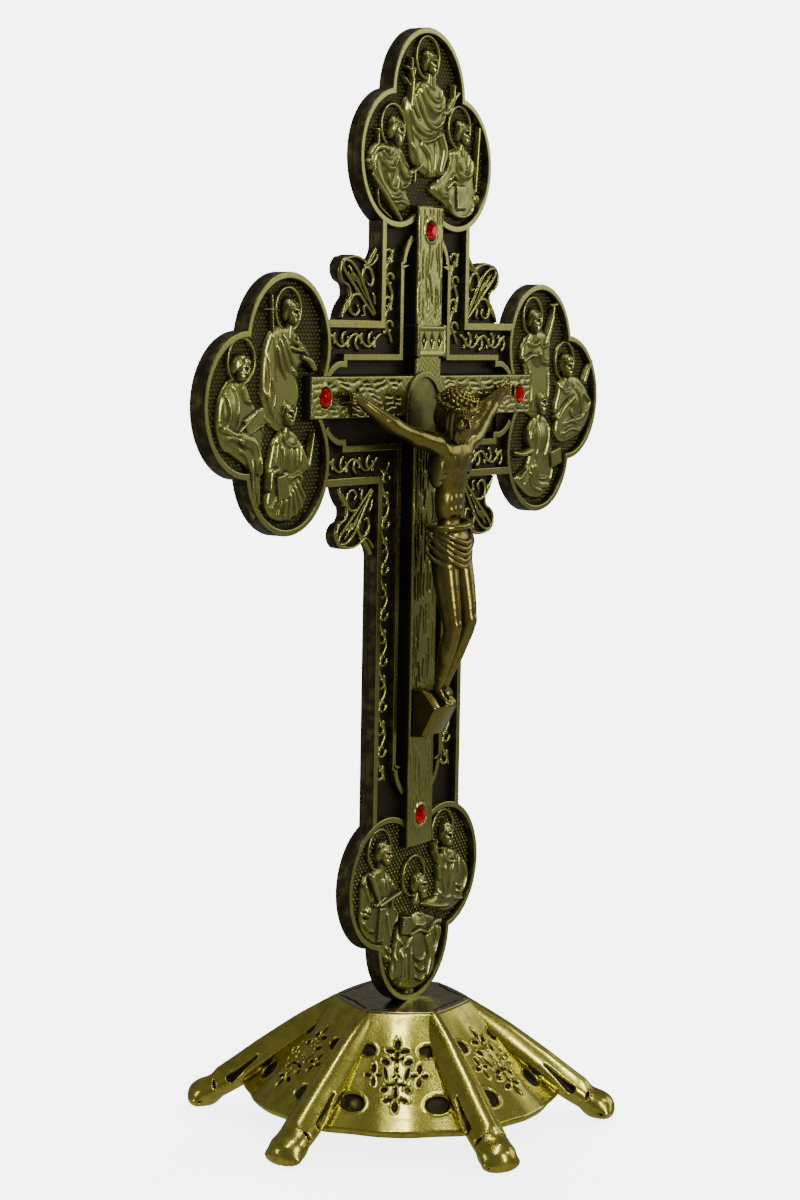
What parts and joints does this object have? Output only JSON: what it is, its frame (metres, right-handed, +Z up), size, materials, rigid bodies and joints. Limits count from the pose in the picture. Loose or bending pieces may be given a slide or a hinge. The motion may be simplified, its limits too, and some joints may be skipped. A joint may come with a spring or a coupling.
{
  "type": "altar cross",
  "caption": "Standing table altar cross with trefoil ends, relief figures, a wood-grained beam cross, hanging corpus and a six-legged base.",
  "frame": {"origin": "on the floor under the centre of the six-legged base", "axes": "+Z up along the stem, +X along the cross arms to the viewer's right, the front with the corpus faces -Y"},
  "size_m": [0.146, 0.0776, 0.22],
  "materials": {
    "antique_brass": "antique brass plate with dark recesses",
    "dark_brass": "dark antique brass, worn bright on the edges",
    "base_brass": "bright antique brass, brushed down the panels",
    "red_stone": "faceted red glass, foil backed",
    "steel": "zinc-plated steel"
  },
  "bodies": {
    "root": {"cross_plate": "antique_brass", "beam_cross": "antique_brass", "title_plaque": "antique_brass", "halo": "antique_brass", "corpus": "dark_brass", "footrest": "dark_brass", "hand_nail_left": "dark_brass", "hand_nail_right": "dark_brass", "foot_nail": "dark_brass", "gem_top": "red_stone", "gem_bottom": "red_stone", "gem_left": "red_stone", "gem_right": "red_stone", "beam_screw_top": "steel", "beam_screw_bottom": "steel", "beam_screw_left": "steel", "beam_screw_right": "steel", "footrest_screw": "steel", "base": "base_brass", "base_washer": "steel", "base_screw": "steel"}
  },
  "joints": []
}
